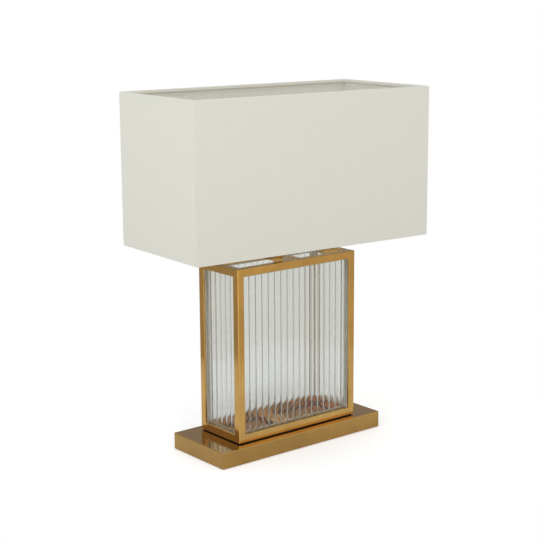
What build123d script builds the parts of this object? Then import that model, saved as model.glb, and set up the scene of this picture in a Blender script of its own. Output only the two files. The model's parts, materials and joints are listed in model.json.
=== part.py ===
from build123d import *
from math import cos, radians, sin
import os

os.makedirs("parts", exist_ok=True)

# Column table lamp. Millimetres, +Z up. The origin is the middle of the lamp's underside,
# and the front of the lamp faces -Y. Every size below can be set by itself.

# --- base ---
base_length = 300.0
base_depth = 120.0
base_height = 23.8
base_wall = 2.0
base_corner_radius = 2.5
base_edge_radius = 1.2
pad_thickness = 1.6
pad_proud = 0.6
pad_inset = 4.0
cover_thickness = 1.5
cover_gap = 0.3
boss_radius = 4.5
boss_inset = 9.0
cover_screw_radius = 1.5
cover_screw_head_radius = 2.8
cover_screw_length = 8.0
ballast_thickness = 14.0
ballast_end_margin = 16.0
ballast_side_margin = 26.0
inlet_bore_radius = 3.6
inlet_wall = 1.4
inlet_flange_radius = 7.5
inlet_flange_thickness = 1.6
inlet_depth = 7.0
inlet_height = 11.0

# --- glazed column ---
tube_size = 11.0
tube_wall = 1.2
frame_height = 253.0
frame_corner_radius = 2.0
frame_ridge_radius = 1.0
window_edge_radius = 0.5
gasket_thickness = 1.6
gasket_inset = 2.0
flute_pitch = 11.6
flute_depth = 0.75
flute_ridge = 0.7
front_flutes = 17
side_flutes = 6
glass_thickness = 6.0
glass_recess = 2.6
glass_side_gap = 0.25
glass_top_gap = 0.4
crossbar_width = 26.0
crossbar_height = 6.0
crossbar_wall = 1.0
crossbar_edge_radius = 0.8
floor_bar_thickness = 2.5
floor_bar_edge_radius = 0.7
wire_way_radius = 3.2
lead_slot_width = 12.0

# --- clamping parts ---
bolt_radius = 3.0
bolt_hole_gap = 0.2
thread_gap = 0.05
bolt_head_flats = 10.0
bolt_head_height = 4.0
washer_radius = 7.0
washer_thickness = 1.0
centre_nut_flats = 10.0
centre_nut_height = 4.0
nut_crown_inset = 0.2
nut_crown_drop = 0.8
bolt_end = 1.2

# --- neck and lampholder ---
stem_radius = 4.95
stem_bore_radius = 3.5
stem_hole_gap = 0.2
stem_nut_flats = 14.0
stem_nut_height = 3.5
stem_washer_radius = 9.0
stem_end = 1.5
stem_side_hole_radius = 1.8
neck_radius = 6.5
neck_height = 14.0
holder_bottom_radius = 9.5
holder_radius = 17.5
holder_wall = 2.0
holder_cap_height = 20.0
holder_flare_height = 9.0
holder_shoulder_radius = 22.5
holder_shoulder_height = 2.5
holder_thread_radius = 19.5
holder_body_height = 34.0
holder_mouth_lip = 1.2
screw_shell_bore = 13.5
screw_shell_wall = 0.4
insulator_wall = 1.2
insulator_floor = 4.0
insulator_depth = 26.0
contact_width = 6.0
contact_thickness = 0.5
contact_rise = 2.0
contact_length = 12.0
contact_flat = 4.0
terminal_screw_radius = 1.75
terminal_screw_length = 6.0
terminal_screw_grip = 3.2
terminal_head_radius = 3.0
terminal_head_height = 1.8
terminal_offset = 8.5

# --- shade ring and shade carrier ---
ring_bore_gap = 0.06
ring_seat_gap = 0.2
ring_outer_radius = 28.0
ring_height = 8.0
ring_flange_thickness = 2.4
ring_hub_wall = 2.2
ring_grips = 8
ring_grip_radius = 1.6
fitter_bore_gap = 0.8
fitter_width = 6.5
fitter_thickness = 1.5
arm_radius = 1.75
arm_spread = 68.0
arm_slot_gap = 0.3

# --- shade ---
shade_length = 402.0
shade_depth = 197.0
shade_height = 219.5
shade_gap = 22.5
shade_turn = -3.65
fabric_thickness = 0.4
liner_thickness = 0.8
hem_depth = 10.0
wire_radius = 1.75
wire_bend_radius = 5.0

# --- bulb ---
bulb_cap_gap = 0.4
bulb_cap_wall = 0.4
bulb_cap_height = 21.0
bulb_base_radius = 8.0
bulb_base_height = 3.6
bulb_contact_radius = 4.5
bulb_contact_height = 1.4
bulb_collar_radius = 15.0
bulb_collar_height = 6.0
bulb_collar_flare = 1.8
bulb_radius = 30.0
bulb_neck_height = 22.0
bulb_flank_angle = 33.0
bulb_wall = 1.0

# --- levels and sizes that follow ---
shell_bottom = pad_proud
shell_top = shell_bottom + base_height
shell_ceiling = shell_top - base_wall
cover_top = pad_thickness + cover_thickness

front_glass_width = front_flutes * flute_pitch
side_glass_width = side_flutes * flute_pitch
front_opening = front_glass_width + 2 * glass_side_gap
side_opening = side_glass_width + 2 * glass_side_gap
frame_width = front_opening + 2 * tube_size
frame_depth = side_opening + 2 * tube_size
frame_bottom = shell_top + gasket_thickness
frame_top = frame_bottom + frame_height
sill = frame_bottom + tube_size
head = frame_top - tube_size
glass_height = head - sill - glass_top_gap
bead_size = tube_size - glass_recess - glass_thickness
post_x = frame_width / 2 - tube_size / 2
post_y = frame_depth / 2 - tube_size / 2

crossbar_bottom = frame_top - crossbar_height
floor_bar_top = frame_bottom + floor_bar_thickness

neck_bottom = frame_top + washer_thickness
holder_bottom = neck_bottom + neck_height
shoulder_bottom = holder_bottom + holder_cap_height
shoulder_top = shoulder_bottom + holder_shoulder_height
fitter_top = shoulder_top + fitter_thickness
ring_bottom = fitter_top + ring_seat_gap
holder_top = shoulder_bottom + holder_body_height
insulator_radius = screw_shell_bore + screw_shell_wall + insulator_wall
insulator_bottom = holder_top - insulator_depth - insulator_floor
insulator_top = holder_top - holder_mouth_lip
contact_top = insulator_bottom + insulator_floor + contact_rise

bulb_contact_bottom = contact_top
bulb_base_bottom = bulb_contact_bottom + bulb_contact_height
bulb_cap_bottom = bulb_base_bottom + bulb_base_height
bulb_cap_top = bulb_cap_bottom + bulb_cap_height
bulb_cap_radius = screw_shell_bore - bulb_cap_gap
bulb_collar_top = bulb_cap_top + bulb_collar_height
bulb_centre = bulb_collar_top + bulb_neck_height

shade_bottom = frame_top + shade_gap
shade_top = shade_bottom + shade_height
skin_thickness = fabric_thickness + liner_thickness
wire_offset = skin_thickness + wire_radius
bottom_wire_level = shade_bottom + fabric_thickness + wire_radius
top_wire_level = shade_top - fabric_thickness - wire_radius
fitter_bore = holder_thread_radius + fitter_bore_gap
fitter_radius = fitter_bore + fitter_width


# --- shared shapes ---
# A shape that cuts another runs 1 mm past it at each open end.

def block(x_size, y_size, bottom, top):
    """A box centred on the lamp's axis between two levels."""
    return Pos(0, 0, (bottom + top) / 2) * Box(x_size, y_size, top - bottom)


def disc(radius, bottom, top):
    """A round bar on the lamp's axis between two levels."""
    return Pos(0, 0, (bottom + top) / 2) * Cylinder(radius, top - bottom)


def tube(outer_radius, inner_radius, bottom, top):
    return disc(outer_radius, bottom, top) - disc(inner_radius, bottom - 1, top + 1)


def hexagon(flats, bottom, top):
    outline = RegularPolygon(flats / 2, 6, major_radius=False)
    return Pos(0, 0, bottom) * extrude(outline, top - bottom)


def turned(points):
    """A solid turned on the lamp's axis from (radius, level) points."""
    outline = Polyline(*[(r, 0, z) for r, z in points], close=True)
    return revolve(make_face(outline), Axis.Z)


def rounded_block(x_size, y_size, bottom, top, corner):
    """A block whose four upright edges are rounded."""
    solid = block(x_size, y_size, bottom, top)
    return fillet(solid.edges().filter_by(Axis.Z), corner)


def rod(start, end, radius):
    """A straight round bar between two points."""
    run = end - start
    return extrude(Plane(origin=start, z_dir=run) * Circle(radius), run.length)


def corners(x_distance, y_distance):
    return [(sx * x_distance, sy * y_distance) for sx in (-1, 1) for sy in (-1, 1)]


# --- base ---

def boss_places():
    return corners(base_length / 2 - boss_inset, base_depth / 2 - boss_inset)


def base_shell():
    """A pressed slab, open underneath, with four bosses for the cover."""
    shell = rounded_block(base_length, base_depth, shell_bottom, shell_top, base_corner_radius)
    shell = fillet(shell.faces().sort_by(Axis.Z)[-1].edges(), base_edge_radius)
    room_length = base_length - 2 * base_wall
    room_depth = base_depth - 2 * base_wall
    shell -= block(room_length, room_depth, shell_bottom - 1, shell_ceiling)
    for x, y in boss_places():
        boss = Pos(x, y, 0) * disc(boss_radius, cover_top, shell_ceiling)
        hole = Pos(x, y, 0) * disc(cover_screw_radius + thread_gap, cover_top - 1, shell_ceiling)
        shell += boss
        shell -= hole
    shell -= disc(bolt_radius + bolt_hole_gap, shell_ceiling - 1, shell_top + 1)
    shell -= wire_way(shell_ceiling - 1, shell_top + 1)
    shell -= inlet_hole()
    return shell


def wire_way(bottom, top):
    """The lead's way up inside the back left post."""
    return Pos(-post_x, post_y, 0) * disc(wire_way_radius, bottom, top)


def inlet_axis(radius, start, end):
    """A round bar through the back wall, between two depths measured from the back face."""
    bar = Rot(90, 0, 0) * Cylinder(radius, end - start)
    return Pos(0, base_depth / 2 - (start + end) / 2, inlet_height) * bar


def inlet_hole():
    return inlet_axis(inlet_bore_radius + inlet_wall + bolt_hole_gap, -1, base_wall + 1)


def cable_inlet_bush():
    """A flanged bush in the back wall of the base."""
    bush = inlet_axis(inlet_bore_radius + inlet_wall, 0, inlet_depth)
    flange = inlet_axis(inlet_flange_radius, -inlet_flange_thickness, 0)
    flange = fillet(flange.faces().sort_by(Axis.Y)[-1].edges(), inlet_flange_thickness / 2)
    bush += flange
    return bush - inlet_axis(inlet_bore_radius, -inlet_flange_thickness - 1, inlet_depth + 1)


def base_ballast():
    length = base_length - 2 * base_wall - 2 * ballast_end_margin
    depth = base_depth - 2 * base_wall - 2 * ballast_side_margin
    slab = rounded_block(length, depth, shell_ceiling - ballast_thickness, shell_ceiling, base_corner_radius)
    return slab - disc(bolt_radius + bolt_hole_gap, 0, shell_top)


def base_cover():
    """The steel plate that closes the base from below."""
    length = base_length - 2 * base_wall - 2 * cover_gap
    depth = base_depth - 2 * base_wall - 2 * cover_gap
    plate = block(length, depth, pad_thickness, cover_top)
    for x, y in boss_places():
        plate -= Pos(x, y, 0) * disc(cover_screw_radius + bolt_hole_gap, 0, cover_top + 1)
        plate -= Pos(x, y, 0) * countersink(bolt_hole_gap)
    return plate


def countersink(extra):
    """The cone of a flat-headed screw, level with the cover's underside."""
    rise = cover_screw_head_radius - cover_screw_radius
    wide = cover_screw_head_radius + extra
    narrow = cover_screw_radius + extra
    return turned([(0, pad_thickness), (wide, pad_thickness), (narrow, pad_thickness + rise),
                   (0, pad_thickness + rise)])


def cover_screws():
    shank_top = pad_thickness + cover_screw_length
    screw = countersink(0) + disc(cover_screw_radius, pad_thickness, shank_top)
    return [Pos(x, y, 0) * screw for x, y in boss_places()]


def base_pad():
    """The felt pad under the cover, a little proud of the shell's rim."""
    inset = base_wall + cover_gap + pad_inset
    return rounded_block(base_length - 2 * inset, base_depth - 2 * inset, 0, pad_thickness,
                         base_corner_radius)


# --- glazed column ---

def whole_frame():
    """All twelve tubes of the column as one block, before it is cut into its members."""
    frame = rounded_block(frame_width, frame_depth, frame_bottom, frame_top, frame_corner_radius)
    frame = fillet(frame.faces().sort_by(Axis.Z)[-1].edges(), frame_ridge_radius)
    frame -= block(front_opening, side_opening, frame_bottom - 1, frame_top + 1)
    frame -= block(front_opening, frame_depth + 2, sill, head)
    frame -= block(frame_width + 2, side_opening, sill, head)
    outer_edges = [edge for edge in frame.edges() if lies_on_window(edge)]
    return fillet(outer_edges, window_edge_radius)


def lies_on_window(edge):
    """True for the outer edges of the four glazed windows."""
    near = window_edge_radius / 10
    middle = edge.center()
    on_front = abs(abs(middle.Y) - frame_depth / 2) < near
    on_side = abs(abs(middle.X) - frame_width / 2) < near
    in_front = abs(middle.X) < front_opening / 2 + near
    in_side = abs(middle.Y) < side_opening / 2 + near
    in_height = sill - near < middle.Z < head + near
    return in_height and ((on_front and in_front) or (on_side and in_side))


def ring_hollow(bottom, top):
    """The hollow that runs round inside a ring of four rails."""
    outer = block(frame_width - 2 * tube_wall, frame_depth - 2 * tube_wall, bottom, top)
    inner_width = front_opening + 2 * tube_wall
    inner_depth = side_opening + 2 * tube_wall
    return outer - block(inner_width, inner_depth, bottom - 1, top + 1)


def mitred_share(width, distance, turn):
    """The part of a ring of rails that lies on one side of the column, cut off at its mitres."""
    outer_half = width / 2 + tube_size
    outer_y = distance + tube_size
    inner_half = width / 2 - 2 * tube_size
    inner_y = distance - 2 * tube_size
    outline = Polyline((-outer_half, -outer_y), (outer_half, -outer_y), (inner_half, -inner_y),
                       (-inner_half, -inner_y), close=True)
    return Rot(0, 0, turn) * extrude(make_face(outline), frame_top + 1)


def top_ring(frame):
    """The four top rails as one hollow ring."""
    ring = frame & block(frame_width + 2, frame_depth + 2, head, frame_top + 1)
    ring -= ring_hollow(head + tube_wall, frame_top - tube_wall)
    ring -= wire_way(head - 1, head + tube_wall + 1)
    return ring - crossbar_mouth()


def bottom_ring(frame):
    """The four bottom rails as one hollow ring."""
    ring = frame & block(frame_width + 2, frame_depth + 2, frame_bottom - 1, sill)
    ring -= ring_hollow(frame_bottom + tube_wall, sill - tube_wall)
    return ring - wire_way(frame_bottom - 1, sill + 1)


def corner_post(sign_x, sign_y, frame):
    """One upright tube of the column."""
    share = Pos(sign_x * frame_width / 2, sign_y * frame_depth / 2, 0) * block(
        frame_width - 2, frame_depth - 2, sill, head)
    post = frame & share
    hollow = tube_size - 2 * tube_wall
    return post - Pos(sign_x * post_x, sign_y * post_y, 0) * block(hollow, hollow, sill - 1, head + 1)


def crossbar_mouth():
    """The lead's way from the back rail into the crossbar."""
    return Pos(0, (side_opening + tube_wall) / 2, 0) * block(
        lead_slot_width, 2 * tube_wall, crossbar_bottom + crossbar_wall, frame_top - crossbar_wall)


def top_crossbar():
    """The flat tube over the open top that carries the lampholder."""
    bar = block(crossbar_width, side_opening, crossbar_bottom, frame_top)
    bar = fillet(bar.edges().filter_by(Axis.Y), crossbar_edge_radius)
    bar -= block(crossbar_width - 2 * crossbar_wall, side_opening + 2,
                 crossbar_bottom + crossbar_wall, frame_top - crossbar_wall)
    return bar - disc(stem_radius + stem_hole_gap, crossbar_bottom - 1, frame_top + 1)


def bottom_crossbar():
    """The flat bar across the floor that the centre bolt holds down."""
    bar = block(crossbar_width, side_opening, frame_bottom, floor_bar_top)
    bar = fillet(bar.faces().sort_by(Axis.Z)[-1].edges().filter_by(Axis.Y), floor_bar_edge_radius)
    return bar - disc(bolt_radius + bolt_hole_gap, frame_bottom - 1, floor_bar_top + 1)


def frame_gasket():
    """The dark strip between base and column, set back from the column's faces."""
    outer = rounded_block(frame_width - 2 * gasket_inset, frame_depth - 2 * gasket_inset,
                          shell_top, frame_bottom, frame_corner_radius)
    ring = outer - block(front_opening, side_opening, shell_top - 1, frame_bottom + 1)
    ring += block(crossbar_width, side_opening, shell_top, frame_bottom)
    ring -= disc(bolt_radius + bolt_hole_gap, shell_top - 1, frame_bottom + 1)
    return ring - wire_way(shell_top - 1, frame_bottom + 1)


def fluted_outline(flutes):
    """Plan of a pane: hollow flutes and narrow ridges on the -Y side, flat on the other."""
    width = flutes * flute_pitch
    left = -width / 2
    lines = []
    for i in range(flutes):
        start = left + i * flute_pitch
        end = start + flute_pitch
        near = start + flute_ridge / 2
        far = end - flute_ridge / 2
        lines.append(Line((start, 0), (near, 0)))
        lines.append(ThreePointArc((near, 0), ((start + end) / 2, flute_depth), (far, 0)))
        lines.append(Line((far, 0), (end, 0)))
    lines.append(Polyline((left, 0), (left, glass_thickness), (-left, glass_thickness), (-left, 0)))
    return make_face(Curve() + lines)


def pane(flutes, turn, distance):
    """A fluted pane, stood on its sill and turned to its side of the column."""
    glass = extrude(fluted_outline(flutes), glass_height)
    return Rot(0, 0, turn) * (Pos(0, -distance + glass_recess, sill) * glass)


def pane_bead(opening, turn, distance):
    """Four square strips that hold a pane against the back."""
    depth = distance - tube_size + bead_size / 2
    long_strip = Box(opening, bead_size, bead_size)
    tall_strip = Box(bead_size, bead_size, head - sill - 2 * bead_size)
    strips = [
        Pos(0, -depth, sill + bead_size / 2) * long_strip,
        Pos(0, -depth, head - bead_size / 2) * long_strip,
        Pos(-(opening - bead_size) / 2, -depth, (sill + head) / 2) * tall_strip,
        Pos((opening - bead_size) / 2, -depth, (sill + head) / 2) * tall_strip,
    ]
    return [Rot(0, 0, turn) * strip for strip in strips]


# --- clamping parts ---

def centre_bolt():
    head_top = shell_ceiling - ballast_thickness
    end = floor_bar_top + washer_thickness + centre_nut_height + bolt_end
    head_part = hexagon(bolt_head_flats, head_top - bolt_head_height, head_top)
    shank = disc(bolt_radius, head_top - bolt_head_height / 2, end)
    shank = chamfer(shank.faces().sort_by(Axis.Z)[-1].edges(), bolt_end / 2)
    return head_part + shank


def centre_washer():
    return tube(washer_radius, bolt_radius + bolt_hole_gap, floor_bar_top, floor_bar_top + washer_thickness)


def chamfered_nut(flats, bottom, height, bore):
    """A hexagon nut with its top corners turned off."""
    top = bottom + height
    reach = flats / 3 ** 0.5 + nut_crown_inset
    crown = flats / 2 - nut_crown_inset
    cone = turned([(0, bottom), (reach, bottom), (reach, top - nut_crown_drop), (crown, top), (0, top)])
    return (hexagon(flats, bottom, top) & cone) - disc(bore, bottom - 1, top + 1)


def centre_nut():
    seat = floor_bar_top + washer_thickness
    return chamfered_nut(centre_nut_flats, seat, centre_nut_height, bolt_radius + thread_gap)


# --- neck and lampholder ---

def stem_tube():
    """The threaded tube from under the crossbar into the lampholder's cap."""
    bottom = crossbar_bottom - washer_thickness - stem_nut_height - stem_end
    top = holder_bottom + holder_wall + stem_nut_height
    stem = tube(stem_radius, stem_bore_radius, bottom, top)
    middle = crossbar_bottom + crossbar_height / 2
    side_hole = Pos(0, stem_radius / 2, middle) * (Rot(90, 0, 0) * Cylinder(stem_side_hole_radius, stem_radius))
    return stem - side_hole


def stem_nut():
    bottom = crossbar_bottom - washer_thickness - stem_nut_height
    return hexagon(stem_nut_flats, bottom, bottom + stem_nut_height) - disc(
        stem_radius + thread_gap, bottom - 1, crossbar_bottom)


def stem_washers():
    hole = stem_radius + stem_hole_gap
    lower = tube(stem_washer_radius, hole, crossbar_bottom - washer_thickness, crossbar_bottom)
    upper = tube(stem_washer_radius, hole, frame_top, frame_top + washer_thickness)
    return [lower, upper]


def neck_sleeve():
    return tube(neck_radius, stem_radius + stem_hole_gap, neck_bottom, holder_bottom)


def holder_cap():
    """The lower cup of the lampholder, screwed on the stem."""
    bore = stem_radius + thread_gap
    waist = holder_bottom + holder_flare_height
    inner = holder_radius - holder_wall
    floor = holder_bottom + holder_wall
    boss_top = floor + stem_nut_height
    return turned([
        (bore, holder_bottom), (holder_bottom_radius, holder_bottom), (holder_radius, waist),
        (holder_radius, shoulder_bottom), (inner, shoulder_bottom), (inner, waist + holder_wall / 2),
        (holder_bottom_radius, floor + holder_wall / 2), (holder_bottom_radius - holder_wall / 2, boss_top),
        (bore, boss_top)])


def holder_body():
    """The upper sleeve, with the shoulder that the shade rests on and the thread for its ring."""
    inner = insulator_radius + bolt_hole_gap
    lip = screw_shell_bore + screw_shell_wall
    lip_bottom = holder_top - holder_mouth_lip
    return turned([
        (inner, shoulder_bottom), (holder_shoulder_radius, shoulder_bottom),
        (holder_shoulder_radius, shoulder_top), (holder_thread_radius, shoulder_top),
        (holder_thread_radius, holder_top - holder_wall), (holder_thread_radius - holder_wall, holder_top),
        (lip, holder_top), (lip, lip_bottom), (inner, lip_bottom)])


def holder_insulator():
    """The cup that carries the screw shell and the contact."""
    bore = screw_shell_bore + screw_shell_wall
    cup = disc(insulator_radius, insulator_bottom, insulator_top)
    cup -= disc(bore, insulator_bottom + insulator_floor, insulator_top + 1)
    for sign in (-1, 1):
        hole = disc(terminal_screw_radius + thread_gap, insulator_bottom - 1,
                    insulator_bottom + insulator_floor + 1)
        cup -= Pos(sign * terminal_offset, 0, 0) * hole
    return cup


def screw_shell():
    """The metal sleeve that the bulb screws into."""
    return tube(screw_shell_bore + screw_shell_wall, screw_shell_bore,
                insulator_bottom + insulator_floor, insulator_top)


def centre_contact():
    """The bent strip that presses on the bulb's contact."""
    seat = insulator_bottom + insulator_floor
    end = contact_length / 2
    flat = contact_flat / 2
    outline = Polyline((-end, 0, seat), (-flat, 0, contact_top - contact_thickness),
                       (flat, 0, contact_top - contact_thickness), (end, 0, seat),
                       (end, 0, seat + contact_thickness), (flat, 0, contact_top), (-flat, 0, contact_top),
                       (-end, 0, seat + contact_thickness), close=True)
    return extrude(make_face(outline), contact_width / 2, both=True)


def terminal_screws():
    """The two screws under the insulator that take the lead's cores."""
    top = insulator_bottom + terminal_screw_grip
    screw = disc(terminal_screw_radius, top - terminal_screw_length, top)
    screw += disc(terminal_head_radius, insulator_bottom - terminal_head_height, insulator_bottom)
    return [Pos(sign * terminal_offset, 0, 0) * screw for sign in (-1, 1)]


def shade_ring():
    """The flanged ring that holds the shade's carrier down on the shoulder, just loose enough to turn."""
    bore = holder_thread_radius + ring_bore_gap
    hub = bore + ring_hub_wall
    rim_top = ring_bottom + ring_flange_thickness / 2
    flange_top = ring_bottom + ring_flange_thickness
    ring_top = ring_bottom + ring_height
    ring = turned([
        (bore, ring_bottom), (ring_outer_radius, ring_bottom), (ring_outer_radius, rim_top),
        (hub, flange_top), (hub, ring_top), (bore, ring_top)])
    for i in range(ring_grips):
        grip = Pos(ring_outer_radius, 0, 0) * disc(ring_grip_radius, ring_bottom - 1, flange_top)
        ring -= Rot(0, 0, 360 / ring_grips * i) * grip
    return ring


# --- bulb ---

def bulb_contact():
    return disc(bulb_contact_radius, bulb_contact_bottom, bulb_base_bottom)


def bulb_insulator():
    return turned([(0, bulb_base_bottom), (bulb_base_radius, bulb_base_bottom),
                   (bulb_cap_radius - bulb_cap_wall, bulb_cap_bottom), (0, bulb_cap_bottom)])


def bulb_cap():
    """The metal sleeve of the screw cap, on its insulator."""
    return tube(bulb_cap_radius, bulb_cap_radius - bulb_cap_wall, bulb_cap_bottom, bulb_cap_top)


def bulb_collar():
    """The plastic skirt between cap and globe."""
    inner = bulb_cap_radius - bulb_cap_wall
    flare = bulb_cap_top + bulb_collar_flare
    return turned([
        (inner, bulb_cap_top), (bulb_cap_radius, bulb_cap_top), (bulb_collar_radius, flare),
        (bulb_collar_radius, bulb_collar_top), (inner, bulb_collar_top)])


def bulb_globe():
    """The opal globe: a ball that runs into a straight neck."""
    outer = globe_form(bulb_radius, bulb_collar_radius)
    inner = globe_form(bulb_radius - bulb_wall, bulb_collar_radius - bulb_wall)
    return outer - inner


def globe_form(radius, neck):
    """A ball on a neck, joined by a flank that leaves the neck upright and meets the ball smoothly."""
    foot = (0, 0, bulb_collar_top)
    mouth = (neck, 0, bulb_collar_top)
    slope = radians(bulb_flank_angle)
    meeting = (radius * cos(slope), 0, bulb_centre - radius * sin(slope))
    top = (0, 0, bulb_centre + radius)
    flank = Spline(mouth, meeting, tangents=[(0, 0, 1), (sin(slope), 0, cos(slope))])
    ball = ThreePointArc(meeting, (radius, 0, bulb_centre), top)
    outline = Curve() + [Line(foot, mouth), flank, ball, Line(top, foot)]
    return revolve(make_face(outline), Axis.Z)


# --- shade ---

def turned_with_shade(solids):
    """Turns pieces of the shade to where the shade stands."""
    return [Rot(0, 0, shade_turn) * solid for solid in solids]


def shade_walls(outset, thickness, bottom, top):
    """A rectangular tube set in from the shade's outer faces."""
    length = shade_length - 2 * outset
    depth = shade_depth - 2 * outset
    return block(length, depth, bottom, top) - block(
        length - 2 * thickness, depth - 2 * thickness, bottom - 1, top + 1)


def shade_fabric():
    return shade_walls(0, fabric_thickness, shade_bottom + fabric_thickness, shade_top - fabric_thickness)


def shade_liner():
    """Four stiff panels behind the fabric."""
    bottom = shade_bottom + fabric_thickness
    top = shade_top - fabric_thickness
    length = shade_length - 2 * fabric_thickness
    depth = shade_depth - 2 * fabric_thickness - 2 * liner_thickness
    panels = []
    for sign in (-1, 1):
        long_panel = block(length, liner_thickness, bottom, top)
        end_panel = block(liner_thickness, depth, bottom, top)
        panels.append(Pos(0, sign * (depth + liner_thickness) / 2, 0) * long_panel)
        panels.append(Pos(sign * (length - liner_thickness) / 2, 0, 0) * end_panel)
    return panels


def hem_block(inset, corner, bottom, top):
    return rounded_block(shade_length - 2 * inset, shade_depth - 2 * inset, bottom, top, corner)


def hem(edge, inward):
    """The strip folded over a rim and its wire: edge is the rim's level, inward is up (1) or down (-1)."""
    fold = edge + inward * fabric_thickness
    end = edge + inward * hem_depth
    leg_inset = skin_thickness + 2 * wire_radius
    leg_corner = wire_bend_radius - wire_radius
    cap = block(shade_length, shade_depth, min(edge, fold), max(edge, fold))
    leg = hem_block(leg_inset, leg_corner, min(fold, end), max(fold, end))
    mouth = hem_block(leg_inset + fabric_thickness, leg_corner - fabric_thickness,
                      min(edge, end) - 1, max(edge, end) + 1)
    return cap + leg - mouth


def rim_wire(level):
    """A rectangle of round wire just inside the liner."""
    length = shade_length - 2 * wire_offset
    depth = shade_depth - 2 * wire_offset
    path = Pos(0, 0, level) * RectangleRounded(length, depth, wire_bend_radius)
    start = Plane(origin=(0, -depth / 2, level), z_dir=(1, 0, 0))
    return sweep(start * Circle(wire_radius), path=path.wire())


def fitter_ring():
    return tube(fitter_radius, fitter_bore, shoulder_top, fitter_top)


def arm_bar(sign_x, sign_y, radius):
    """A round arm from under the fitter ring, bent down to the middle of the bottom wire."""
    level = shoulder_top - arm_radius
    outer = Vector(sign_x * arm_spread, sign_y * (shade_depth / 2 - wire_offset), bottom_wire_level)
    direction = Vector(outer.X, outer.Y, 0).normalized()
    inner = direction * (fitter_radius - fitter_width / 2) + Vector(0, 0, level)
    knee = direction * (fitter_radius + arm_radius) + Vector(0, 0, level)
    return rod(inner, knee, radius) + Pos(knee) * Sphere(radius) + rod(knee, outer, radius)


def fitter_arms():
    """Four arms, each cut to sit against the bottom wire."""
    arms = []
    for sign_x, sign_y in corners(1, 1):
        straight_wire = Rot(0, 90, 0) * Cylinder(wire_radius, shade_length)
        wire_y = sign_y * (shade_depth / 2 - wire_offset)
        arms.append(arm_bar(sign_x, sign_y, arm_radius) - Pos(0, wire_y, bottom_wire_level) * straight_wire)
    return arms


def bottom_hem():
    """The lower hem, with a slot where each arm passes."""
    strip = hem(shade_bottom, 1)
    for sign_x, sign_y in corners(1, 1):
        strip -= arm_bar(sign_x, sign_y, arm_radius + arm_slot_gap)
    return strip


# --- write every piece ---

def write(name, solids):
    if not isinstance(solids, list):
        solids = [solids]
    found = [body for solid in solids for body in solid.solids()]
    export_step(Compound(children=found) if len(found) > 1 else found[0], f"parts/{name}.step")


write("base_shell", base_shell())
write("base_ballast", base_ballast())
write("base_cover", base_cover())
write("cover_screws", cover_screws())
write("base_pad", base_pad())
write("cable_inlet_bush", cable_inlet_bush())
write("centre_bolt", centre_bolt())
write("centre_washer", centre_washer())
write("centre_nut", centre_nut())
write("frame_gasket", frame_gasket())

frame_block = whole_frame()
rails_above = top_ring(frame_block)
rails_below = bottom_ring(frame_block)

for side, turn, width, distance, flutes in (
        ("front", 0, frame_width, frame_depth / 2, front_flutes),
        ("right", 90, frame_depth, frame_width / 2, side_flutes),
        ("back", 180, frame_width, frame_depth / 2, front_flutes),
        ("left", 270, frame_depth, frame_width / 2, side_flutes)):
    share = mitred_share(width, distance, turn)
    write(f"top_rail_{side}", rails_above & share)
    write(f"bottom_rail_{side}", rails_below & share)
    write(f"glass_pane_{side}", pane(flutes, turn, distance))
    write(f"pane_bead_{side}", pane_bead(width - 2 * tube_size, turn, distance))

for corner, sign_x, sign_y in (("front_left", -1, -1), ("front_right", 1, -1),
                               ("back_left", -1, 1), ("back_right", 1, 1)):
    write(f"corner_post_{corner}", corner_post(sign_x, sign_y, frame_block))

write("top_crossbar", top_crossbar())
write("bottom_crossbar", bottom_crossbar())

write("stem_tube", stem_tube())
write("stem_nut", stem_nut())
write("stem_washers", stem_washers())
write("neck_sleeve", neck_sleeve())
write("holder_cap", holder_cap())
write("holder_body", holder_body())
write("holder_insulator", holder_insulator())
write("screw_shell", screw_shell())
write("centre_contact", centre_contact())
write("terminal_screws", terminal_screws())
write("shade_ring", shade_ring())

write("bulb_contact", bulb_contact())
write("bulb_insulator", bulb_insulator())
write("bulb_cap", bulb_cap())
write("bulb_collar", bulb_collar())
write("bulb_globe", bulb_globe())

write("shade_fabric", turned_with_shade([shade_fabric()]))
write("shade_liner", turned_with_shade(shade_liner()))
write("shade_top_hem", turned_with_shade([hem(shade_top, -1)]))
write("shade_bottom_hem", turned_with_shade([bottom_hem()]))
write("shade_top_wire", turned_with_shade([rim_wire(top_wire_level)]))
write("shade_bottom_wire", turned_with_shade([rim_wire(bottom_wire_level)]))
write("fitter_ring", fitter_ring())
write("fitter_arms", turned_with_shade(fitter_arms()))
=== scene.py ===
import json
from math import cos, pi, radians, sin, sqrt

import bmesh
import bpy
from mathutils import Matrix, Vector
from mathutils.geometry import interpolate_bezier


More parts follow.
